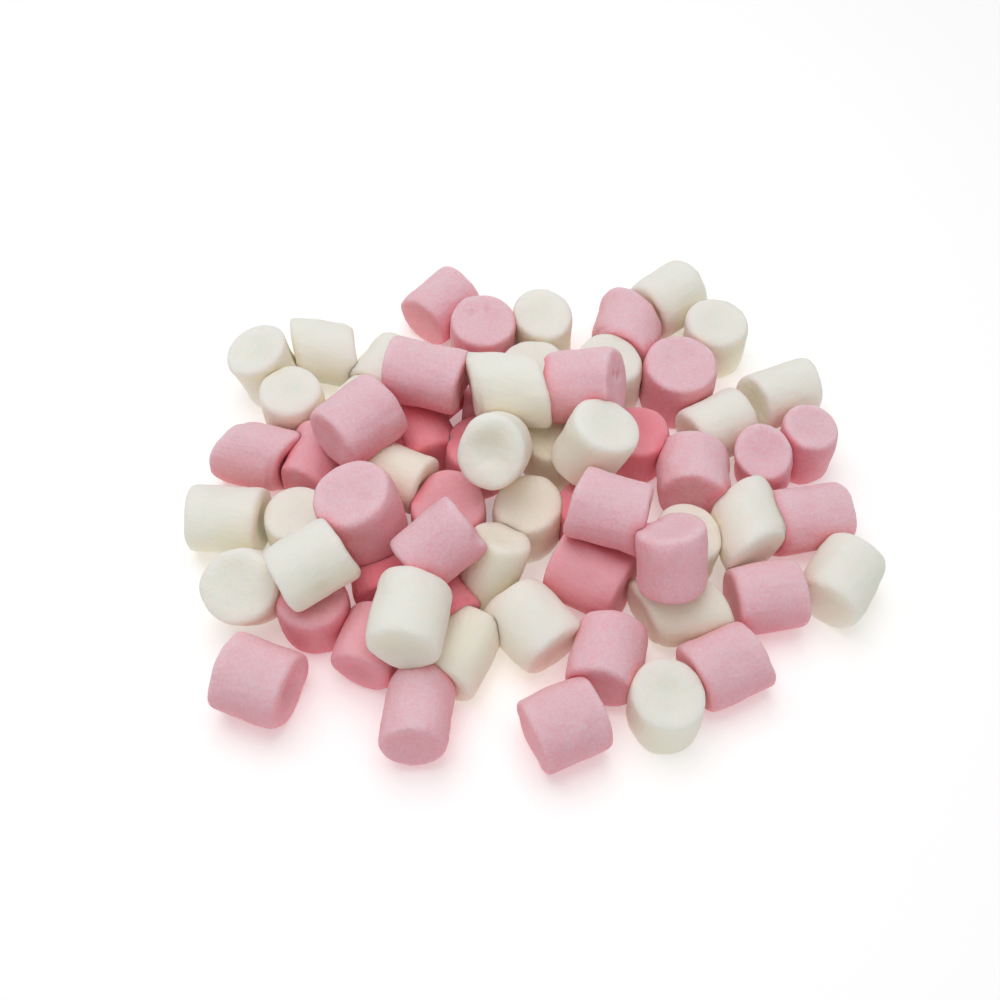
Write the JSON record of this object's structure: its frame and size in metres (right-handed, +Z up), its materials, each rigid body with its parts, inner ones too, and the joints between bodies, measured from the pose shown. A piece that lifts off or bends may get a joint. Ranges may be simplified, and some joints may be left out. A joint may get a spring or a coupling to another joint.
{
  "type": "heap of mini marshmallows",
  "caption": "Loose heap of pink and white mini marshmallows lying as poured on a table, two layers deep in the middle, with one more beside it.",
  "frame": {"origin": "centre of the bounding box at the height of the table", "axes": "+Z up, +X along the heap's longest extent, -Y towards the side from which the loose marshmallow lies front left"},
  "size_m": [0.1475, 0.1275, 0.0313],
  "materials": {
    "heap_powder": "soft matt powdered sugar, white and pink drums",
    "pink_powder": "soft matt pink with a fine white powder"
  },
  "bodies": {
    "root": {"heap": "heap_powder", "loose_marshmallow": "pink_powder"}
  },
  "joints": []
}
